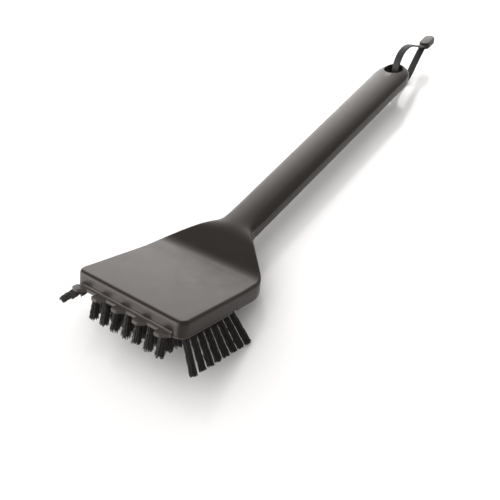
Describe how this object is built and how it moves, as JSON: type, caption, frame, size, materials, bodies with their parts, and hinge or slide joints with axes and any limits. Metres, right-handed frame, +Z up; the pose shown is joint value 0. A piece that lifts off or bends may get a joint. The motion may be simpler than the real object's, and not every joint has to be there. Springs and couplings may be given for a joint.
{
  "type": "grill cleaning brush",
  "caption": "Long-handled grill cleaning brush with an angled head, stiff nylon tufts below and splayed at the sides, a toothed scraper lip and a hanging strap with a tag.",
  "frame": {"origin": "centre of the bounding box's base, on the table the brush lies on", "axes": "+Z up, +Y from the head towards the end of the handle, +X to the right seen from the head with the handle pointing away"},
  "size_m": [0.1158, 0.4564, 0.0489],
  "materials": {
    "body": "satin moulded, fine grain",
    "plate": "satin moulded",
    "bristle": "extruded nylon filament",
    "strap": "matte",
    "steel": "turned"
  },
  "bodies": {
    "brush": {"brush_plate": "plate", "front_tuft_1": "bristle", "front_tuft_2": "bristle", "front_tuft_3": "bristle", "front_tuft_4": "bristle", "front_tuft_5": "bristle", "front_tuft_6": "bristle", "front_tuft_7": "bristle", "handle_shell": "body", "handle_underside_strip": "plate", "inner_tuft_row_1": "bristle", "inner_tuft_row_2": "bristle", "inner_tuft_row_3": "bristle", "inner_tuft_row_4": "bristle", "inner_tuft_row_5": "bristle", "inner_tuft_row_6": "bristle", "inner_tuft_row_7": "bristle", "left_tuft_1": "bristle", "left_tuft_2": "bristle", "left_tuft_3": "bristle", "left_tuft_4": "bristle", "left_tuft_5": "bristle", "left_tuft_6": "bristle", "left_tuft_7": "bristle", "left_tuft_8": "bristle", "plate_screw_1": "steel", "plate_screw_2": "steel", "plate_screw_3": "steel", "plate_screw_4": "steel", "right_tuft_1": "bristle", "right_tuft_2": "bristle", "right_tuft_3": "bristle", "right_tuft_4": "bristle", "right_tuft_5": "bristle", "right_tuft_6": "bristle", "right_tuft_7": "bristle", "right_tuft_8": "bristle"},
    "hanger": {"hanging_strap": "strap", "tag_upper_shell": "body", "tag_lower_shell": "body", "tag_rivet": "steel"}
  },
  "joints": [
    {"name": "strap_swing", "type": "hinge", "parent": "brush", "child": "hanger", "pos_m": [0, 0.15115, 0.0228], "axis": [1, 0, 0], "range_deg": [-55, 55]}
  ]
}
